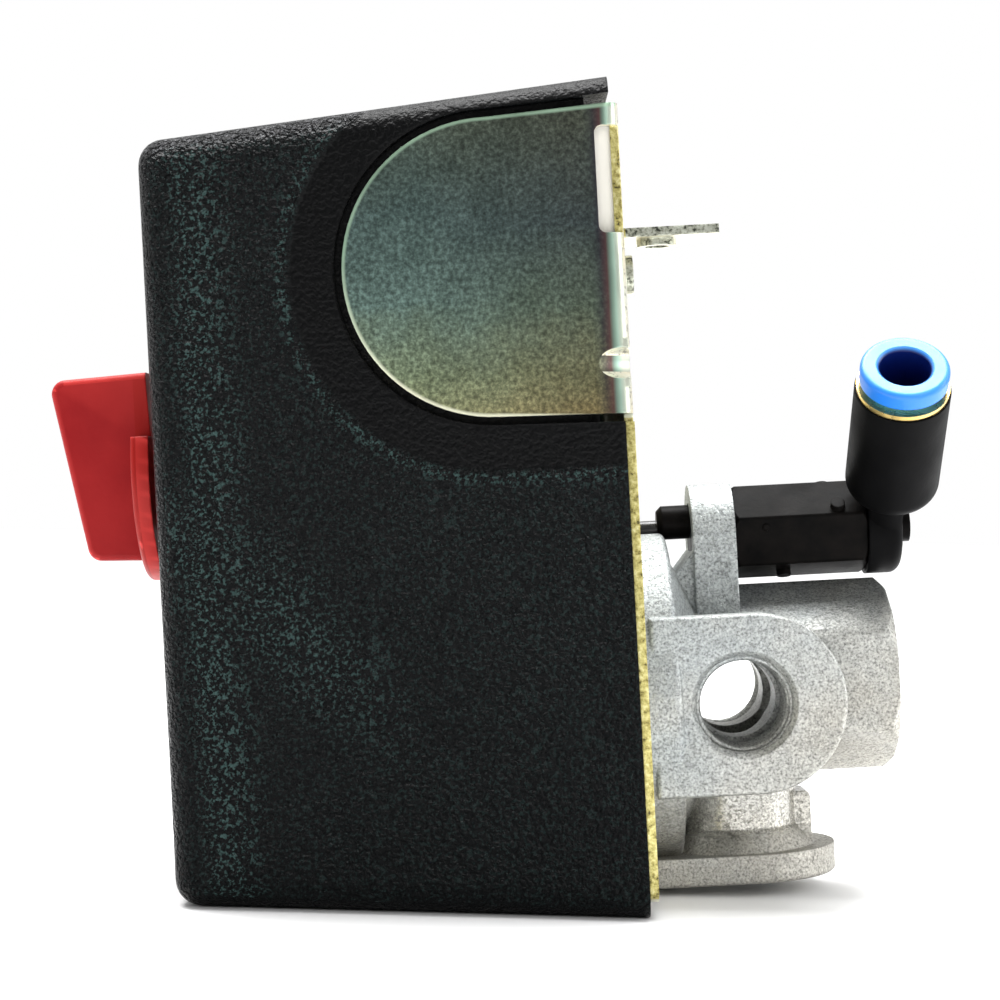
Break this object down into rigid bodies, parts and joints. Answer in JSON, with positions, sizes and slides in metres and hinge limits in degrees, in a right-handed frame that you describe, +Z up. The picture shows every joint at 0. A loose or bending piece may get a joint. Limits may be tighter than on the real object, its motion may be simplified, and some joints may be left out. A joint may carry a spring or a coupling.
{
  "type": "pressure switch",
  "caption": "Air-compressor pressure switch: drafted cover with lever knob, steel base, die-cast ported manifold, unloader valve and push-in elbow outlet.",
  "frame": {"origin": "centre of the tank port's mouth", "axes": "+X leaves the tank port, +Z is up towards the cord entries' end, +Y points to the side with the cord entry"},
  "size_m": [0.1238, 0.063, 0.1101],
  "materials": {
    "zinc_yellow": "yellow zinc chromate, mottled",
    "die_cast": "as-cast, fine grain",
    "rubber_black": "matt",
    "steel_screw": "zinc plated",
    "steel_inner": "zinc plated",
    "brass_piston": "turned",
    "spring_steel": "bright wire",
    "block_plastic": "moulded",
    "contact_brass": "stamped",
    "brass_screw": "plated",
    "green_screw": "green plated",
    "carriage_plastic": "moulded",
    "knob_red": "moulded",
    "cover_black": "pebble grain",
    "valve_black": "moulded",
    "pin_black": "moulded",
    "elbow_black": "moulded",
    "collar_brass": "turned",
    "ring_blue": "moulded"
  },
  "bodies": {
    "frame": {"base_frame": "zinc_yellow", "manifold": "die_cast", "diaphragm": "rubber_black", "manifold_screws": "steel_screw", "rocker_bracket": "steel_inner", "rocker_pin": "steel_screw", "range_stud": "steel_screw", "range_spring": "spring_steel", "spring_seat": "steel_inner", "cover_post": "steel_inner", "terminal_block": "block_plastic", "fixed_contacts": "contact_brass", "clamp_plates": "steel_inner", "terminal_screws": "brass_screw", "block_screws": "steel_screw", "earth_screw": "green_screw", "valve_body": "valve_black", "valve_spring": "spring_steel"},
    "cover_body": {"cover": "cover_black", "cover_screw": "steel_screw"},
    "knob_body": {"knob": "knob_red", "cam_shaft": "block_plastic"},
    "rocker_body": {"rocker": "steel_inner"},
    "piston_body": {"piston": "brass_piston"},
    "pin_body": {"valve_pin": "pin_black", "valve_seal": "rubber_black"},
    "carriage_body": {"contact_carriage": "carriage_plastic", "bridge_contacts": "contact_brass"},
    "trip_body": {"trip_slide": "carriage_plastic"},
    "nut_body": {"range_nut": "steel_screw"},
    "elbow": {"elbow_body": "elbow_black", "brass_collar": "collar_brass", "tube_seal": "rubber_black", "tube_claw": "steel_inner"},
    "ring_body": {"release_ring": "ring_blue"}
  },
  "joints": [
    {"name": "cover_lift", "type": "slide", "parent": "frame", "child": "cover_body", "axis": [-1, 0, 0], "range_m": [0, 0.075]},
    {"name": "knob_turn", "type": "hinge", "parent": "cover_body", "child": "knob_body", "pos_m": [-0.1, 0, 0.0329], "axis": [1, 0, 0], "range_deg": [0, 90]},
    {"name": "trip_slide", "type": "slide", "parent": "frame", "child": "trip_body", "axis": [0, 0, 1], "range_m": [0, 0.0026]},
    {"name": "rocker_tilt", "type": "hinge", "parent": "frame", "child": "rocker_body", "pos_m": [-0.047, 0, 0.012], "axis": [0, 1, 0], "range_deg": [0, 5.5], "stiffness_Nm_per_rad": 2, "springref_deg": -2.86, "deforming": ["range_spring"]},
    {"name": "piston_slide", "type": "slide", "parent": "frame", "child": "piston_body", "axis": [-1, 0, 0], "range_m": [0, 0.00135]},
    {"name": "pin_slide", "type": "slide", "parent": "frame", "child": "pin_body", "axis": [1, 0, 0], "range_m": [0, 0.0009], "deforming": ["valve_spring"]},
    {"name": "carriage_slide", "type": "slide", "parent": "frame", "child": "carriage_body", "axis": [1, 0, 0], "range_m": [0, 0.0025]},
    {"name": "nut_turn", "type": "hinge", "parent": "frame", "child": "nut_body", "pos_m": [-0.087, 0, -0.0135], "axis": [1, 0, 0], "continuous": true},
    {"name": "elbow_swivel", "type": "hinge", "parent": "frame", "child": "elbow", "pos_m": [0, 0, 0.0209], "axis": [1, 0, 0], "range_deg": [-136, 44]},
    {"name": "ring_push", "type": "slide", "parent": "elbow", "child": "ring_body", "axis": [0, 0.7193, -0.6947], "range_m": [0, 0.0009], "stiffness_N_per_m": 800, "springref_m": -0.0005}
  ],
  "couplings": [
    {"joint": "trip_slide", "follows": "knob_turn", "m_per_rad": 0.0015915},
    {"joint": "piston_slide", "follows": "rocker_tilt", "m_per_rad": 0.0137},
    {"joint": "pin_slide", "follows": "rocker_tilt", "m_per_rad": 0.0089},
    {"joint": "carriage_slide", "follows": "rocker_tilt", "m_per_rad": 0.0255}
  ]
}
